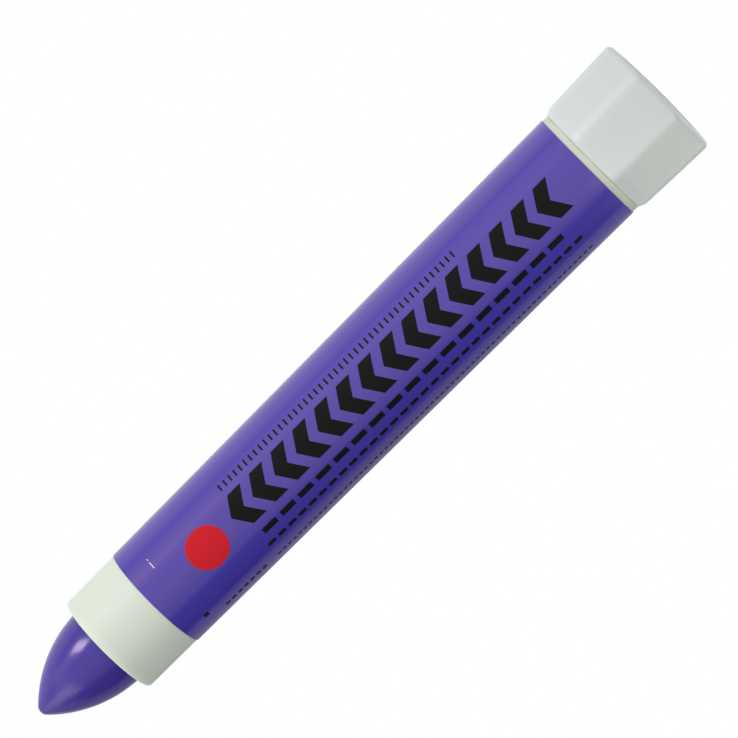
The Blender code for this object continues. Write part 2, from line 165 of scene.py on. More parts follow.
# Materials: colours in linear light, gloss and roughness.
PLASTIC_IOR = 1.46
CREAM_LIGHT = (0.671, 0.723, 0.630)
CREAM_DARK = (0.643, 0.697, 0.601)
# Cream painted shade beside the knob, then cream painted light at the front rim.
CREAM_PAINTED_SHADE = (0.577, 0.607, 0.498)
CREAM_PAINTED_LIGHT = (0.82, 0.87, 0.77)
CREAM_ROUGHNESS = 0.42
WHITE_LIGHT = (0.614, 0.654, 0.654)
WHITE_DARK = (0.593, 0.630, 0.630)
# White painted highlight on the knob's ridges, then white painted shade towards its end.
WHITE_PAINTED_LIGHT = (0.643, 0.683, 0.686)
WHITE_PAINTED_SHADE = (0.462, 0.487, 0.475)
WHITE_ROUGHNESS = 0.36
SCREW_LIGHT = (0.74, 0.74, 0.72)
SCREW_DARK = (0.70, 0.70, 0.68)
SCREW_ROUGHNESS = 0.4
CUP_LIGHT = (0.68, 0.70, 0.68)
CUP_DARK = (0.64, 0.66, 0.64)
CUP_ROUGHNESS = 0.45
FILM_IOR = 1.85
FILM_LIGHT = (0.043, 0.036, 0.390)
FILM_DARK = (0.037, 0.032, 0.368)
FILM_SHEEN = (1.0, 0.64, 0.3, 1.0)
PAINT_IOR = 1.55
PAINT_LIGHT = (0.054, 0.031, 0.312)
PAINT_DARK = (0.043, 0.025, 0.270)
PAINT_SHEEN = (1.0, 0.82, 0.97, 1.0)
INK_IOR = 1.2
BLACK_INK_THIN = (0.007, 0.007, 0.007)
BLACK_INK_FULL = (0.004, 0.004, 0.004)
# White ink of the painted glint near the label's front edge.
GLINT_INK_THIN = (0.66, 0.66, 0.70)
GLINT_INK_FULL = (0.74, 0.74, 0.78)
RED_INK_THIN = (0.56, 0.014, 0.024)
RED_INK_FULL = (0.60, 0.011, 0.018)
# Shares of the finer noise in a relief, the roughness that full dulling adds, and the noise's middle value.
GRAIN_SHARE = 0.25
SMEAR_SHARE = 0.3
DULL_ROUGHNESS = 0.16
NOISE_MIDDLE = 0.5
# Sockets of a Mix node that mixes colours.
MIX_FIRST = 6
MIX_SECOND = 7
MIX_RESULT = 2

# Camera, in metres and degrees.
LENS_MM = 250.0
SENSOR_MM = 36.0
CLIP_END = 100.0
CAMERA_DISTANCE = 0.72
LEAN_TO_KNOB_DEG = 3.4
LEAN_ACROSS_DEG = -0.9
AXIS_IN_PICTURE_DEG = 44.94
AIM_ALONG = 56.3 * MM
AIM_ACROSS = 1.55 * MM

# Stage, in metres.
WHITE = (1.0, 1.0, 1.0, 1.0)
BLACK = (0.02, 0.02, 0.02, 1.0)
FLOOR_HALF = 6.0
FLOOR_GAP = 0.02 * MM
CARD_HALF = 1.5
CARD_SETBACK = 0.043
CARD_LIFT = 0.2 * MM
SURROUNDINGS_STRENGTH = 0.13

# Soft panels of the tent round the marker: name, centre, a point that it faces, width, height, radiance.
# The long ones have the same run.
RUN = 6.0
PANELS = (
    ("side_low", (0.0, 1.5, 0.125), (0.0, 0.0, 0.125), RUN, 0.25, 0.42),
    ("side", (0.0, 1.5, 0.45), (0.0, 0.0, 0.45), RUN, 0.4, 0.7),
    ("side_high", (0.0, 1.5, 0.825), (0.0, 0.0, 0.825), RUN, 0.35, 0.83),
    ("ceiling_far", (0.0, 1.25, 1.0), (0.0, 1.25, 0.0), RUN, 0.5, 0.88),
    ("ceiling", (0.0, 0.41, 1.0), (0.0, 0.41, 0.0), RUN, 1.18, 0.73),
    ("ceiling_near", (0.0, -0.39, 1.0), (0.0, -0.39, 0.0), RUN, 0.42, 0.64),
    ("ceiling_edge", (0.0, -0.895, 1.0), (0.0, -0.895, 0.0), RUN, 0.59, 0.43),
    ("floor_far", (0.0, 0.704, 0.0003), (0.0, 0.704, 1.0), RUN, 1.392, 0.9),
    ("floor_near", (0.0, -0.0315, 0.0003), (0.0, -0.0315, 1.0), RUN, 0.047, 0.42),
    ("floor_tip", (-0.329, 0.0, 0.0003), (-0.329, 0.0, 1.0), 0.542, 0.016, 1.0),
    ("floor_mouth_1", (-0.05625, 0.0, 0.0003), (-0.05625, 0.0, 1.0), 0.0035, 0.016, 0.75),
    ("floor_mouth_2", (-0.05275, 0.0, 0.0003), (-0.05275, 0.0, 1.0), 0.0035, 0.016, 0.50),
    ("floor_mouth_3", (-0.04925, 0.0, 0.0003), (-0.04925, 0.0, 1.0), 0.0035, 0.016, 0.25),
    ("floor_front", (-0.355, -0.044, 0.0004), (-0.355, -0.044, 1.0), 0.49, 0.072, 1.0),
    ("floor_knob", (0.281, -0.121, 0.0004), (0.281, -0.121, 1.0), 0.43, 0.258, 0.85),
    ("tip_end_far", (-1.5, 0.75, 0.5), (0.0, 0.75, 0.5), 1.5, 1.0, 0.32),
    ("tip_end_high", (-1.5, -0.475, 0.75), (0.0, -0.475, 0.75), 0.95, 0.5, 1.7),
    ("tip_end_low", (-1.5, -0.36, 0.25), (0.0, -0.36, 0.25), 0.72, 0.5, 0.88),
    ("tip_glow", (-1.45, -0.2, 0.3), (0.0, -0.2, 0.3), 0.6, 0.5, 1.0),
    ("tip_streak", (-0.360, 0.581, 0.474), (-0.062, 0.0, 0.008), 0.165, 0.30, 10.5),
    ("knob_end", (1.5, 0.75, 0.5), (0.0, 0.75, 0.5), 1.5, 1.0, 0.7),
    ("collar_card", (0.0, -0.12, 0.075), (-1.0, -0.12, 0.075), 0.16, 0.15, 0.46),
)
WARM_CARDS = (
    ("knob_card_low", (0.060, -0.07, 0.02), (0.056, 0.0, 0.01), 0.021, 0.05, 2.1),
    ("knob_card_high", (0.060, -0.05, 0.075), (0.056, 0.0, 0.01), 0.021, 0.05, 2.42),
)
PLAIN_COLOUR = (1.0, 1.0, 1.0)
WARM_COLOUR = (1.0, 0.98, 0.84)

# Mesh fineness.
ROUND_STEPS = 192
LAP_STEPS = 16
ARC_STEPS = 8
OGIVE_STEPS = 40
FLAT_STEPS = 8
LENGTH_STEPS = 12
CROWN_STEPS = 5
SHARP_DEG = 32.0
WELD = 0.0001 * MM


# Sizes read from the frame.

def marker_frame():
    """The matrix from the marker's own frame to the world."""
    twist = next(entry for entry in frame["joints"] if entry["name"] == "knob_twist")
    tipward = Vector(twist["axis"]).normalized()
    across = Vector((0.0, 1.0, 0.0))
    upward = across.cross(tipward).normalized()
    turn = Matrix((upward, across, tipward)).transposed().to_4x4()
    return Matrix.Translation(twist["pos_m"]) @ turn


axis_frame = marker_frame()
to_marker = axis_frame.inverted()


def measure(node):
    """A CAD node's points in the marker's frame, and how far each one is from the axis."""
    points = np.array([to_marker @ vertex.co for vertex in frame["nodes"][node].data.vertices])
    return points, np.hypot(points[:, 0], points[:, 1])


barrel_points, barrel_radii = measure("barrel_tube")
barrel_rear = barrel_points[:, ALONG].min()
barrel_front = barrel_points[:, ALONG].max()
bore_radius = barrel_radii.min()
rear_radius = barrel_radii.max()
at_front = barrel_points[:, ALONG] > barrel_front - FRONT_REACH
front_radius = barrel_radii[at_front].max()
front_edge = barrel_front - barrel_points[at_front][barrel_radii[at_front].argmax(), ALONG]

screw_points, screw_radii = measure("drive_screw")
flange_radius = screw_radii.max()
on_flange = screw_radii > flange_radius - NEAR
flange_rear = screw_points[on_flange, ALONG].min()
flange_front = screw_points[on_flange, ALONG].max()
behind_flange = screw_points[:, ALONG] < flange_rear - NEAR
neck_rear = screw_points[behind_flange, ALONG].max()
shank_rear = screw_points[:, ALONG].min()
at_shank_end = screw_points[:, ALONG] < shank_rear + NEAR
shank_flats = 2 * screw_points[at_shank_end, UP].max()

_, cup_radii = measure("feed_cup")
key_radius = cup_radii.max()

label_points, _ = measure("label_film")
label_rear = label_points[:, ALONG].min()
label_front = label_points[:, ALONG].max()

knob_points, _ = measure("twist_knob")
knob_front = knob_points[:, ALONG].max()
in_front_half = knob_points[:, ALONG] > knob_front / 2
knob_rear_flat = knob_points[~in_front_half, UP].max()
knob_front_flat = knob_points[in_front_half, UP].max()

stick_points, stick_radii = measure("paint_stick")
tip = stick_points[:, ALONG].max()
stick_base = stick_points[:, ALONG].min()
stick_radius = stick_radii.max()
at_base = stick_points[:, ALONG] < stick_base + NEAR
spigot_radius = stick_radii[at_base].max()
stick_bore = stick_radii[at_base].min()
shoulder = stick_points[stick_radii > spigot_radius + NEAR, ALONG].min()
on_axis = stick_radii < NEAR
stick_bore_end = stick_points[on_axis, ALONG].min()


def barrel_radius(along):
    """The barrel's outer radius, which shrinks evenly towards the tip."""
    share = (along - barrel_rear) / (barrel_front - front_edge - barrel_rear)
    return rear_radius + (front_radius - rear_radius) * share


def knob_flat(along):
    """The distance from the axis to the knob's flats, which flare towards its end."""
    low = KNOB_FLATS_START
    high = knob_front - KNOB_FLATS_STOP
    share = (along - low) / (high - low)
    return knob_rear_flat + (knob_front_flat - knob_rear_flat) * share


# Mesh helpers.

def spread(low, high, steps):
    """Evenly spaced values from low to high, both included."""
    return [low + (high - low) * step / steps for step in range(steps + 1)]


def constant(value):
    """A function that gives one value everywhere."""
    return lambda place: value


def arc(radius_at, along_at, radius, start_deg, end_deg, steps=ARC_STEPS):
    """Outline points on an arc, given as distances from the axis and places along it."""
    turns = [math.radians(angle) for angle in spread(start_deg, end_deg, steps)]
    return [(radius_at + radius * math.cos(a), along_at + radius * math.sin(a)) for a in turns]


def ring(radius, along):
    """A circle of points round the axis."""
    turns = [math.tau * step / ROUND_STEPS for step in range(ROUND_STEPS)]
    return [(radius * math.cos(a), radius * math.sin(a), along) for a in turns]


def bridge(bm, low, high):
    """Adds the faces between two rings. A ring of one point gives a fan."""
    for k in range(max(len(low), len(high))):
        after = k + 1
        low_side = (low[k % len(low)], low[after % len(low)])
        high_side = (high[after % len(high)], high[k % len(high)])
        bm.faces.new(list(dict.fromkeys(low_side + high_side)))


def skin(rings, closed=False):
    """Joins rings of points into one surface, welded where they meet. A ring of one point closes an end."""
    bm = bmesh.new()
    rows = [[bm.verts.new(point) for point in points] for points in rings]
    if closed:
        rows.append(rows[0])
    for low, high in zip(rows, rows[1:]):
        bridge(bm, low, high)
    bmesh.ops.remove_doubles(bm, verts=bm.verts, dist=WELD)
    return bm


def add_piece(name, bm, material, body, node=None):
    """Makes a smooth-shaded piece from a mesh in the marker's frame. It may stand for a CAD node."""
    bmesh.ops.recalc_face_normals(bm, faces=bm.faces)
    bm.transform(axis_frame)
    mesh = bpy.data.meshes.new(name)
    bm.to_mesh(mesh)
    bm.free()
    mesh.materials.append(material)
    mesh.shade_smooth()
    mesh.set_sharp_from_angle(angle=math.radians(SHARP_DEG))
    piece = bpy.data.objects.new(name, mesh)
    bpy.context.scene.collection.objects.link(piece)
    normals = piece.modifiers.new("even_normals", "WEIGHTED_NORMAL")
    normals.keep_sharp = True
    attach(piece, body)
    if node:
        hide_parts(node)
    return piece


def mark(piece, name, amount_at):
    """Stores a mark at each point of a piece, by the point's place in the marker's frame."""
    amounts = [amount_at(*(to_marker @ vertex.co)) for vertex in piece.data.vertices]
    piece.data.attributes.new(name, "FLOAT", "POINT").data.foreach_set("value", amounts)


# Pieces.

def groove_ring(along):
    """A ring of the bore, widened where the feed cup's keys run."""
    points = []
    groove_radius = key_radius + GROOVE_CLEARANCE
    step_width = math.tau / ROUND_STEPS * bore_radius
    reach = GROOVE_WIDTH / 2 + step_width / 2
    pitch = math.tau / GROOVE_COUNT
    for step in range(ROUND_STEPS):
        angle = math.tau * step / ROUND_STEPS
        offset = (angle + pitch / 2) % pitch - pitch / 2
        radius = groove_radius if abs(offset) * bore_radius < reach else bore_radius
        points.append((radius * math.cos(angle), radius * math.sin(angle), along))
    return points


def seam_shade(x, y, along):
    """Painted shade on the ring of the barrel beside the knob."""
    return 1.0 if along < barrel_rear + SEAM_SHADE_REACH else 0.0


def rim_glow(x, y, along):
    """Painted light at the barrel's front rim, most on the shaded side, towards -Y."""
    nearness = max(0.0, 1.0 - (barrel_front - along) / RIM_GLOW_REACH)
    side = (1.0 - y / math.hypot(x, y)) / 2
    return nearness**2 * side


def make_barrel(material):
    """The tube: rounded front rim, drafted outside, guide grooves and the seat of the screw's flange."""
    side_end = barrel_front - RIM_RADIUS
    outside = [(rear_radius - REAR_CHAMFER, barrel_rear)]
    stations = spread(barrel_rear + REAR_CHAMFER, side_end - RIM_GLOW_REACH, LENGTH_STEPS)
    stations += spread(side_end - RIM_GLOW_REACH, side_end, ARC_STEPS)[1:]
    outside += [(barrel_radius(s), s) for s in stations]
    rim = arc(barrel_radius(side_end) - RIM_RADIUS, side_end, RIM_RADIUS, OUTWARD, TIPWARD)[1:]
    mouth = [(bore_radius + MOUTH_CHAMFER, barrel_front), (bore_radius, barrel_front - MOUTH_CHAMFER)]
    seat_radius = flange_radius + SEAT_CLEARANCE
    lip_radius = flange_radius - LIP_CATCH
    seat_front = flange_front + SEAT_PLAY
    seat_rear = flange_rear - SEAT_PLAY
    seat = [
        (seat_radius, seat_front),
        (seat_radius, seat_rear),
        (lip_radius, seat_rear),
        (lip_radius, barrel_rear),
    ]
    groove_front = barrel_front - GROOVE_SETBACK
    rings = [ring(*point) for point in outside + rim + mouth]
    rings.append(ring(bore_radius, groove_front))
    rings.append(groove_ring(groove_front))
    rings.append(groove_ring(seat_front))
    rings += [ring(*point) for point in seat]
    tube = skin(rings, closed=True)
    shell = add_piece("barrel_shell", tube, material, "barrel", "barrel_tube")
    # Painted shade beside the knob and painted light at the front rim.
    mark(shell, SHADE_MARK, seam_shade)
    mark(shell, LIGHT_MARK, rim_glow)


def make_label(material):
    """The film: a strip wound once round the barrel, which climbs over its own start."""
    seam = math.radians(SEAM_DEG)
    climb = FILM + GLUE
    ramp_start = math.tau - FILM_RAMP / front_radius
    end = math.tau + FILM_LAP / front_radius
    turns = spread(0.0, ramp_start, ROUND_STEPS) + spread(ramp_start, math.tau, ARC_STEPS)[1:]
    turns += spread(math.tau, end, LAP_STEPS)[1:]
    stations = spread(label_rear, label_front, LENGTH_STEPS)
    bm = bmesh.new()
    sections = []
    for turn in turns:
        raised = climb * min(1.0, max(0.0, (turn - ramp_start) / (math.tau - ramp_start)))
        outer = [(barrel_radius(s) + GLUE + raised + FILM, s) for s in stations]
        inner = [(radius - FILM, s) for radius, s in reversed(outer)]
        angle = seam + turn
        section = [(r * math.cos(angle), r * math.sin(angle), s) for r, s in outer + inner]
        sections.append([bm.verts.new(point) for point in section])
    for low, high in zip(sections, sections[1:]):
        bridge(bm, low, high)
    for section in (sections[0], sections[-1]):
        half = len(section) // 2
        for k in range(half - 1):
            bm.faces.new((section[k], section[k + 1], section[-k - 2], section[-k - 1]))
    add_piece("label_wrap", bm, material, "barrel", "label_film")


def on_film(back, row, lift):
    """A point above the film, from its place in the flat artwork."""
    along = label_front - back
    angle = -row / barrel_radius((label_rear + label_front) / 2)
    radius = barrel_radius(along) + GLUE + FILM + lift
    return radius * math.cos(angle), radius * math.sin(angle), along


def ink_plate(bm, row, half_height, front_of, back_of):
    """Adds a closed plate of ink. At each row it runs from front_of to back_of along the marker."""
    steps = max(2, 2 * math.ceil(half_height / INK_STEP))
    sections = []
    for offset in spread(-half_height, half_height, steps):
        front = front_of(offset)
        back = back_of(offset)
        corners = ((front, INK_FOOT), (front, INK_TOP), (back, INK_TOP), (back, INK_FOOT))
        sections.append([bm.verts.new(on_film(at, row + offset, lift)) for at, lift in corners])
    for low, high in zip(sections, sections[1:]):
        bridge(bm, low, high)
    bm.faces.new(sections[0])
    bm.faces.new(sections[-1])


def pointed(start):
    """An edge of an arrowhead, which comes to a point at its middle row."""
    return lambda offset: start + CHEVRON_LEAN * abs(offset)


def make_chevrons(material):
    """A row of bold arrowheads that point to the writing tip."""
    bm = bmesh.new()
    for k in range(CHEVRON_COUNT):
        start = CHEVRON_START + k * CHEVRON_PITCH
        ink_plate(bm, CHEVRON_ROW, CHEVRON_HALF_HEIGHT, pointed(start), pointed(start + CHEVRON_WIDTH))
    add_piece("print_chevrons", bm, material, "barrel")


def make_print_rows(material):
    """Rows of plain ticks and dashes above and below the arrowheads."""
    bm = bmesh.new()
    for sizes_mm in PRINT_ROWS_MM:
        start, end, row, height, length, pitch = (size * MM for size in sizes_mm)
        for k in range(math.floor((end - start) / pitch)):
            front = start + k * pitch
            ink_plate(bm, row, height / 2, constant(front), constant(front + length))
    add_piece("print_rows", bm, material, "barrel")


def make_dot(material):
    """A plain round dot near the label's front."""
    bm = bmesh.new()

    def half_width(offset):
        return math.sqrt(max(DOT_RADIUS**2 - offset**2, DOT_END_HALF_WIDTH**2))

    def front_of(offset):
        return DOT_BACK - half_width(offset)

    def back_of(offset):
        return DOT_BACK + half_width(offset)

    ink_plate(bm, DOT_ROW, DOT_RADIUS, front_of, back_of)
    add_piece("print_dot", bm, material, "barrel")


def make_painted_glint(material):
    """A painted glint near the label's front edge, drawn as two short white strokes of ink."""
    bm = bmesh.new()
    for row, height in GLINT_STROKES:
        ink_plate(bm, row, height / 2, constant(GLINT_BACK), constant(GLINT_BACK + GLINT_WIDTH))
    add_piece("glint_strokes", bm, material, "barrel")


def knob_ring(along, inset):
    """The knob's outline, drawn in by an inset: straight flats and rounded corners."""
    flat = knob_flat(along) - inset
    corner = max(KNOB_CORNER_RADIUS - inset, KNOB_LEAST_CORNER)
    half = math.pi / KNOB_SIDES
    centre = (flat - corner) / math.cos(half)
    run = centre * math.sin(half)
    points = []
    for side in range(KNOB_SIDES):
        facing = 2 * half * side
        for offset in spread(-run, run, FLAT_STEPS)[1:-1]:
            x = flat * math.cos(facing) - offset * math.sin(facing)
            y = flat * math.sin(facing) + offset * math.cos(facing)
            points.append((x, y, along))
        middle = facing + half
        for angle in spread(facing, facing + 2 * half, ARC_STEPS):
            x = centre * math.cos(middle) + corner * math.cos(angle)
            y = centre * math.sin(middle) + corner * math.sin(angle)
            points.append((x, y, along))
    return points


def matching_ring(along, radius_of):
    """A ring with its points at the angles of the knob's outline, and a radius that follows the angle."""
    angles = [math.atan2(y, x) for x, y, _ in knob_ring(along, 0.0)]
    return [(radius_of(a) * math.cos(a), radius_of(a) * math.sin(a), along) for a in angles]


def ridge_highlight(x, y, along):
    """Painted highlight along the knob's ridges, most on their middle line and none on its end."""
    if along < KNOB_END_RADIUS + KNOB_CROWN - NEAR:
        return 0.0
    pitch = math.tau / KNOB_SIDES
    off_ridge = abs(math.atan2(y, x) % pitch - pitch / 2) * math.hypot(x, y)
    return max(0.0, 1.0 - off_ridge / RIDGE_HIGHLIGHT_REACH)


def end_shade(x, y, along):
    """Painted shade on the knob, none at its front and most at its end."""
    return KNOB_END_SHADE * max(0.0, 1.0 - along / knob_front)


def make_knob(material):
    """The eight-sided shell: flared flats, soft corners, a closed end and the hexagonal drive socket."""
    half_flats = shank_flats / 2 + SOCKET_GAP
    half_side = math.pi / SOCKET_SIDES
    socket_radius = half_flats / math.cos(half_side) + SOCKET_WALL
    socket_front = neck_rear - SOCKET_GAP
    bore = knob_flat(knob_front) - KNOB_WALL
    lip = rear_radius - KNOB_LIP_INSET
    lip_front = knob_front + KNOB_LIP_LENGTH

    def hexagon(angle):
        return half_flats / math.cos((angle + half_side) % (2 * half_side) - half_side)

    rings = [
        [(0.0, 0.0, KNOB_END_WALL)],
        matching_ring(KNOB_END_WALL, hexagon),
        matching_ring(socket_front, hexagon),
        matching_ring(socket_front, constant(socket_radius)),
        matching_ring(KNOB_END_WALL, constant(socket_radius)),
        matching_ring(KNOB_END_WALL, constant(bore)),
        matching_ring(lip_front, constant(bore)),
        matching_ring(lip_front, constant(lip)),
        matching_ring(knob_front, constant(lip)),
    ]
    for share in spread(0.0, 1.0, ARC_STEPS):
        rings.append(knob_ring(knob_front - KNOB_BEVEL_LENGTH * share, KNOB_BEVEL_DEPTH * (1 - share) ** 2))
    round_start = KNOB_END_RADIUS + KNOB_CROWN
    for s in spread(knob_front - KNOB_BEVEL_LENGTH, round_start, FLAT_STEPS)[1:]:
        rings.append(knob_ring(s, 0.0))
    for inset, s in arc(0.0, 0.0, KNOB_END_RADIUS, INWARD, KNOBWARD)[1:]:
        rings.append(knob_ring(round_start + s, KNOB_END_RADIUS + inset))
    end_flat = knob_flat(0.0)
    for inset in spread(KNOB_END_RADIUS, end_flat - GATE_SURROUND, CROWN_STEPS)[1:]:
        rise = ((end_flat - inset) / (end_flat - KNOB_END_RADIUS)) ** 2
        rings.append(knob_ring(KNOB_CROWN * rise, inset))
    rings.append(matching_ring(0.0, constant(GATE_RADIUS)))
    rings.append(matching_ring(GATE_DEPTH, constant(GATE_RADIUS - GATE_DEPTH)))
    rings.append([(0.0, 0.0, GATE_DEPTH)])
    shell = add_piece("knob_shell", skin(rings), material, "knob", "twist_knob")
    # Painted highlight along the ridges and painted shade towards the end.
    mark(shell, LIGHT_MARK, ridge_highlight)
    mark(shell, SHADE_MARK, end_shade)


def ogive():
    """Outline of the writing tip: a small round nose that runs into a side arc tangent to the stick."""
    side_radius = (stick_radius**2 + OGIVE_LENGTH**2) / (2 * stick_radius)
    side_centre = stick_radius - side_radius
    reach = math.sqrt((side_radius - NOSE_RADIUS) ** 2 - side_centre**2)
    nose_at = tip - NOSE_RADIUS
    join_deg = math.degrees(math.atan2(reach, -side_centre))
    nose = arc(0.0, nose_at, NOSE_RADIUS, TIPWARD, join_deg)
    side = arc(side_centre, nose_at - reach, side_radius, join_deg, OUTWARD, OGIVE_STEPS)
    return nose[1:] + side[1:]


def tip_dulling(x, y, along):
    """Loss of gloss at the writing tip, most at its nose."""
    return max(0.0, 1.0 - (tip - along) / DULL_REACH)


def make_stick(material):
    """The solid paint: its tip, its stem, the spigot in the feed cup and the bore for the screw."""
    tip_outline = ogive()
    stem = [(stick_radius, s) for s in spread(tip_outline[-1][1], shoulder, LENGTH_STEPS)[1:]]
    back = [
        (spigot_radius, shoulder),
        (spigot_radius, stick_base),
        (stick_bore, stick_base),
        (stick_bore, stick_bore_end - BORE_CONE * stick_bore),
    ]
    rings = [[(0.0, 0.0, tip)]]
    rings += [ring(*point) for point in tip_outline + stem + back]
    rings.append([(0.0, 0.0, stick_bore_end)])
    core = add_piece("paint_core", skin(rings), material, "feed", "paint_stick")
    mark(core, DULL, tip_dulling)


# Materials.

class Field:
    """A number that varies over a surface. Each sum on it adds a math node to its material."""

    def __init__(self, tree, socket):
        self.tree = tree
        self.socket = socket

    def sum(self, operation, other):
        node = self.tree.nodes.new("ShaderNodeMath")
        node.operation = operation
        for entry, value in zip(node.inputs, (self, other)):
            if isinstance(value, Field):
                self.tree.links.new(value.socket, entry)
            else:
                entry.default_value = value
        return Field(self.tree, node.outputs[0])

    def __add__(self, other):
        return self.sum("ADD", other)

    def __sub__(self, other):
        return self.sum("SUBTRACT", other)

    def __mul__(self, other):
        return self.sum("MULTIPLY", other)


class Surface:
    """A material under construction: one Principled shader and the fields that drive it."""

    def __init__(self, name, constants):
        self.material = bpy.data.materials.new(name)
        self.material.use_nodes = True
        self.tree = self.material.node_tree
        self.shader = self.tree.nodes["Principled BSDF"]
        for socket, value in constants.items():
            self.shader.inputs[socket].default_value = value
        self.place = self.tree.nodes.new("ShaderNodeTexCoord").outputs["Object"]

    def noise(self, size, detail, stretch=(1.0, 1.0, 1.0)):
        """Cloudy values about their middle, with patches of about the given size in metres."""
        scaled = self.tree.nodes.new("ShaderNodeVectorMath")
        scaled.operation = "MULTIPLY"
        scaled.inputs[1].default_value = stretch
        self.tree.links.new(self.place, scaled.inputs[0])
        node = self.tree.nodes.new("ShaderNodeTexNoise")
        node.inputs["Scale"].default_value = 1.0 / size
        node.inputs["Detail"].default_value = detail
        self.tree.links.new(scaled.outputs["Vector"], node.inputs["Vector"])
        return Field(self.tree, node.outputs["Fac"])

    def tint(self, share, colour, other):
        """A colour that goes from one to another with a field. Each is three numbers or a socket."""
        node = self.tree.nodes.new("ShaderNodeMix")
        node.data_type = "RGBA"
        self.tree.links.new(share.socket, node.inputs["Factor"])
        for entry, value in ((node.inputs[MIX_FIRST], colour), (node.inputs[MIX_SECOND], other)):
            if isinstance(value, bpy.types.NodeSocket):
                self.tree.links.new(value, entry)
            else:
                entry.default_value = (*value, 1.0)
        return node.outputs[MIX_RESULT]

    def colour(self, socket):
        self.tree.links.new(socket, self.shader.inputs["Base Color"])

    def mark(self, name):
        """A mark that the mesh carries."""
        node = self.tree.nodes.new("ShaderNodeAttribute")
        node.attribute_name = name
        return Field(self.tree, node.outputs["Fac"])

    def roughness(self, middle, swing, field, wear=None):
        """Roughness that swings about a middle value with a noise field, and may grow with wear."""
        value = (field - NOISE_MIDDLE) * (2 * swing) + middle
        if wear:
            value = value + wear
        self.tree.links.new(value.socket, self.shader.inputs["Roughness"])

    def relief(self, height, depth):
        """Bumps of about the given depth in metres, from a noise field."""
        node = self.tree.nodes.new("ShaderNodeBump")
        node.inputs["Strength"].default_value = 1.0
        node.inputs["Distance"].default_value = depth
        self.tree.links.new(height.socket, node.inputs["Height"])
        self.tree.links.new(node.outputs["Normal"], self.shader.inputs["Normal"])


def moulded_plastic(name, light, dark, roughness, marks=None):
    """Satin moulded plastic: cloudy tint, fine mould grain and a slightly uneven gloss.

    Each kind of mark that the mesh carries may have a colour of its own; here these are painted light and
    painted shade.
    """
    surface = Surface(name, {"IOR": PLASTIC_IOR})
    clouds = surface.noise(size=6 * MM, detail=3.0)
    body_colour = surface.tint(clouds, dark, light)
    # Painted light and painted shade that the mesh carries, each laid over the colour before it.
    for kind, colour in (marks or {}).items():
        body_colour = surface.tint(surface.mark(kind), body_colour, colour)
    surface.colour(body_colour)
    grain = surface.noise(size=0.16 * MM, detail=2.0)
    surface.roughness(middle=roughness, swing=0.06, field=grain)
    waves = surface.noise(size=2.5 * MM, detail=1.0)
    surface.relief(height=grain * GRAIN_SHARE + waves, depth=0.006 * MM)
    return surface.material


def purple_film():
    """Glossy purple film, with the reddish sheen of such pigments and slight waves in its surface."""
    surface = Surface("purple_film", {"IOR": FILM_IOR, "Specular Tint": FILM_SHEEN})
    clouds = surface.noise(size=5 * MM, detail=3.0)
    surface.colour(surface.tint(clouds, FILM_DARK, FILM_LIGHT))
    scuffs = surface.noise(size=0.5 * MM, detail=4.0, stretch=(0.2, 1.0, 1.0))
    surface.roughness(middle=0.22, swing=0.04, field=scuffs)
    surface.relief(height=surface.noise(size=7 * MM, detail=1.0), depth=0.03 * MM)
    return surface.material


def ink(name, thin, full):
    """Flat printing ink, a little uneven."""
    surface = Surface(name, {"IOR": INK_IOR})
    speckle = surface.noise(size=0.12 * MM, detail=3.0)
    surface.colour(surface.tint(speckle, thin, full))
    surface.roughness(middle=0.45, swing=0.08, field=speckle)
    return surface.material


def solid_paint():
    """Waxy solid paint: cloudy pigment, a soft gloss and faint marks of handling."""
    surface = Surface("solid_paint", {"IOR": PAINT_IOR, "Specular Tint": PAINT_SHEEN})
    clouds = surface.noise(size=2.2 * MM, detail=4.0)
    surface.colour(surface.tint(clouds, PAINT_DARK, PAINT_LIGHT))
    smears = surface.noise(size=0.7 * MM, detail=3.0, stretch=(0.35, 1.0, 1.0))
    dulling = surface.mark(DULL) * DULL_ROUGHNESS
    surface.roughness(middle=0.19, swing=0.04, field=smears, wear=dulling)
    waves = surface.noise(size=3.0 * MM, detail=1.0)
    surface.relief(height=smears * SMEAR_SHARE + waves, depth=0.02 * MM)
    return surface.material


# Stage.

def split_rays(tree, for_light, for_eye, output_type):
    """Ends a node tree with one shader for the camera's own rays and another for all other rays."""
    seen = tree.nodes.new("ShaderNodeLightPath")
    mix = tree.nodes.new("ShaderNodeMixShader")
    output = tree.nodes.new(output_type)
    tree.links.new(seen.outputs["Is Camera Ray"], mix.inputs["Fac"])
    tree.links.new(for_light.outputs[0], mix.inputs[1])
    tree.links.new(for_eye.outputs[0], mix.inputs[2])
    tree.links.new(mix.outputs["Shader"], output.inputs["Surface"])


def stage_plane(name, material, half, place):
    """A flat square of the stage."""
    bm = bmesh.new()
    bmesh.ops.create_grid(bm, x_segments=1, y_segments=1, size=half)
    mesh = bpy.data.meshes.new(name)
    bm.to_mesh(mesh)
    bm.free()
    mesh.materials.append(material)
    plane = bpy.data.objects.new(name, mesh)
    bpy.context.scene.collection.objects.link(plane)
    plane.location = place
    return plane


def floor():
    """A plain floor: white to the eye, and black for the light, which only the panels on it send back."""
    material = bpy.data.materials.new("pale_floor")
    material.use_nodes = True
    tree = material.node_tree
    tree.nodes.clear()
    white = tree.nodes.new("ShaderNodeEmission")
    white.inputs["Color"].default_value = WHITE
    black = tree.nodes.new("ShaderNodeBsdfDiffuse")
    black.inputs["Color"].default_value = BLACK
    split_rays(tree, black, white, "ShaderNodeOutputMaterial")
    stage_plane("floor", material, FLOOR_HALF, (0.0, 0.0, cad_box[0][2] - FLOOR_GAP))


def dark_card():
    """A black card on the floor beside the marker, which the camera doesn't see, for its reflection."""
    material = bpy.data.materials.new("black_card")
    material.use_nodes = True
    material.node_tree.nodes["Principled BSDF"].inputs["Base Color"].default_value = BLACK
    card = stage_plane("dark_card", material, CARD_HALF, (0.0, -CARD_HALF - CARD_SETBACK, CARD_LIFT))
    card.visible_camera = False


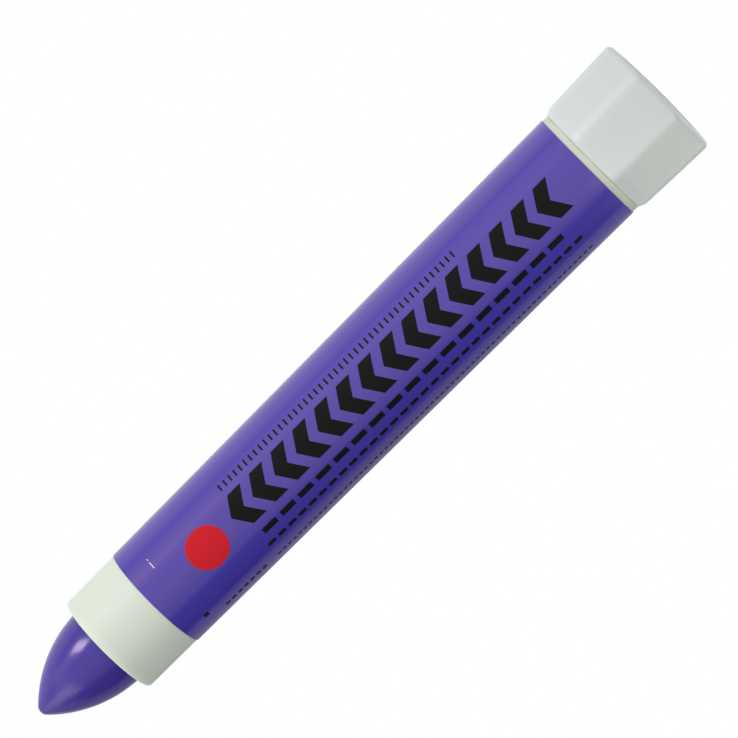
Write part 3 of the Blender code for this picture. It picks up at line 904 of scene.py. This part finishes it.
def surroundings():
    """White to the eye and dim for the light that falls on the marker."""
    world = bpy.data.worlds.new("surroundings")
    world.use_nodes = True
    tree = world.node_tree
    tree.nodes.clear()
    dim = tree.nodes.new("ShaderNodeBackground")
    dim.inputs["Color"].default_value = WHITE
    dim.inputs["Strength"].default_value = SURROUNDINGS_STRENGTH
    white = tree.nodes.new("ShaderNodeBackground")
    white.inputs["Color"].default_value = WHITE
    split_rays(tree, dim, white, "ShaderNodeOutputWorld")
    bpy.context.scene.world = world


def softbox(name, centre, aim, width, height, radiance, colour):
    """A rectangular light that faces a point. Its brightness doesn't change with its size."""
    light = bpy.data.lights.new(name, "AREA")
    light.shape = "RECTANGLE"
    light.size = width
    light.size_y = height
    light.energy = radiance * math.pi * width * height
    light.color = colour
    lamp = bpy.data.objects.new(name, light)
    lamp.location = centre
    lamp.rotation_euler = (Vector(aim) - Vector(centre)).to_track_quat("-Z", "Y").to_euler()
    lamp.visible_camera = False
    bpy.context.scene.collection.objects.link(lamp)


def lights():
    """A white tent that is open on the near side, with lit cards for the collar and the knob."""
    for panel in PANELS:
        softbox(*panel, PLAIN_COLOUR)
    for card in WARM_CARDS:
        softbox(*card, WARM_COLOUR)


def camera():
    """Looks down on the marker, whose axis runs diagonally through the picture."""
    target = axis_frame @ Vector((0.0, AIM_ACROSS, AIM_ALONG))
    leans = (LEAN_TO_KNOB_DEG, LEAN_ACROSS_DEG)
    back = Vector((*(math.tan(math.radians(lean)) for lean in leans), 1.0)).normalized()
    knobward = Vector((1.0, 0.0, 0.0))
    flat = (knobward - back * knobward.dot(back)).normalized()
    side = back.cross(flat)
    turn = math.radians(AXIS_IN_PICTURE_DEG)
    right = flat * math.cos(turn) - side * math.sin(turn)
    up = flat * math.sin(turn) + side * math.cos(turn)
    data = bpy.data.cameras.new("camera")
    data.lens = LENS_MM
    data.sensor_width = SENSOR_MM
    data.sensor_fit = "HORIZONTAL"
    data.clip_end = CLIP_END
    eye = bpy.data.objects.new("camera", data)
    place = Matrix.Translation(target + back * CAMERA_DISTANCE)
    eye.matrix_world = place @ Matrix((right, up, back)).transposed().to_4x4()
    bpy.context.scene.collection.objects.link(eye)
    bpy.context.scene.camera = eye


# The barrel's painted shade beside the knob and painted light at its front rim.
cream_marks = {SHADE_MARK: CREAM_PAINTED_SHADE, LIGHT_MARK: CREAM_PAINTED_LIGHT}
make_barrel(moulded_plastic("cream_plastic", CREAM_LIGHT, CREAM_DARK, CREAM_ROUGHNESS, cream_marks))
make_label(purple_film())
black_ink = ink("black_ink", BLACK_INK_THIN, BLACK_INK_FULL)
make_chevrons(black_ink)
make_print_rows(black_ink)
# Two white strokes of ink that paint a glint on the film.
make_painted_glint(ink("glint_ink", GLINT_INK_THIN, GLINT_INK_FULL))
make_dot(ink("red_ink", RED_INK_THIN, RED_INK_FULL))
# The knob's painted highlight on its ridges and painted shade towards its end.
white_marks = {LIGHT_MARK: WHITE_PAINTED_LIGHT, SHADE_MARK: WHITE_PAINTED_SHADE}
make_knob(moulded_plastic("white_plastic", WHITE_LIGHT, WHITE_DARK, WHITE_ROUGHNESS, white_marks))
make_stick(solid_paint())

inner_plastics = {
    "drive_screw": moulded_plastic("screw_plastic", SCREW_LIGHT, SCREW_DARK, SCREW_ROUGHNESS),
    "feed_cup": moulded_plastic("cup_plastic", CUP_LIGHT, CUP_DARK, CUP_ROUGHNESS),
}
for node, plastic in inner_plastics.items():
    slots = frame["nodes"][node].data.materials
    slots.clear()
    slots.append(plastic)

floor()
dark_card()
surroundings()
lights()
camera()
bpy.context.scene.view_settings.view_transform = "Standard"
